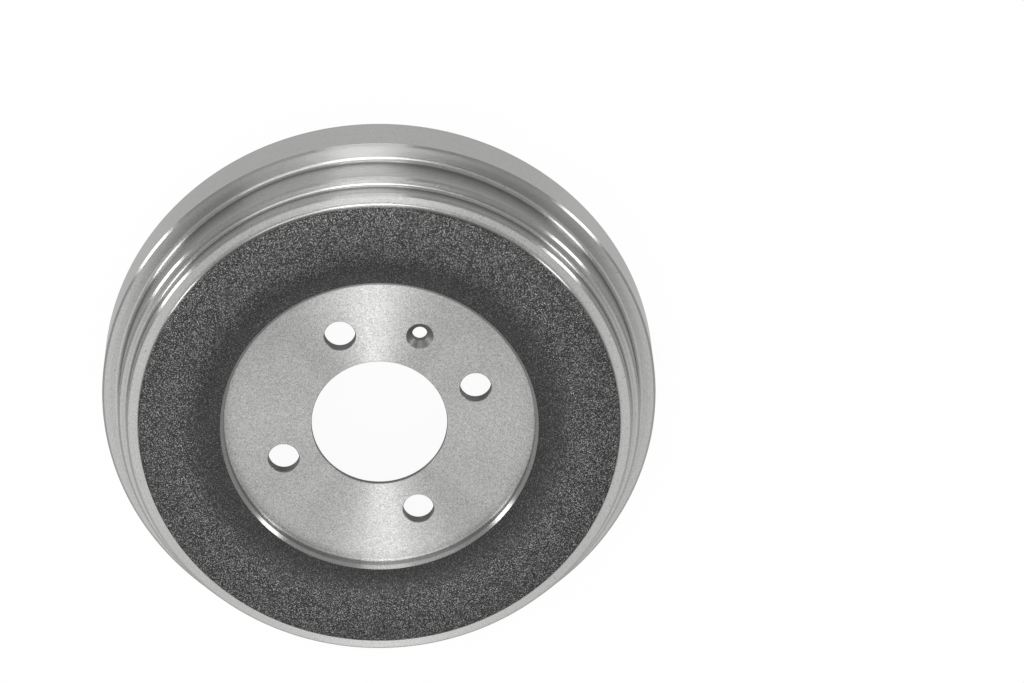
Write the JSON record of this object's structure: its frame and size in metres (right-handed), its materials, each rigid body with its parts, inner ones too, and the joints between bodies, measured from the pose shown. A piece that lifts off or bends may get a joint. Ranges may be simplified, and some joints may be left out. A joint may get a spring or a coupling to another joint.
{
  "type": "brake drum",
  "caption": "Cast iron rear brake drum with a stepped turned outside, a sunk wheel face with stud, screw and pilot holes, and a bored friction track for the shoes.",
  "frame": {"origin": "centre of the stud circle, in the plane of the wheel face", "axes": "+Z along the drum's axis, out towards the road wheel; +X a fixed direction across the axis, with the first stud hole 18.3 degrees from it towards +Y"},
  "size_m": [0.2696, 0.2696, 0.0606],
  "materials": {
    "iron": "turned bright outside, on the wheel face and in the bore; raw and dark on the web"
  },
  "bodies": {
    "root": {"brake_drum": "iron"}
  },
  "joints": []
}
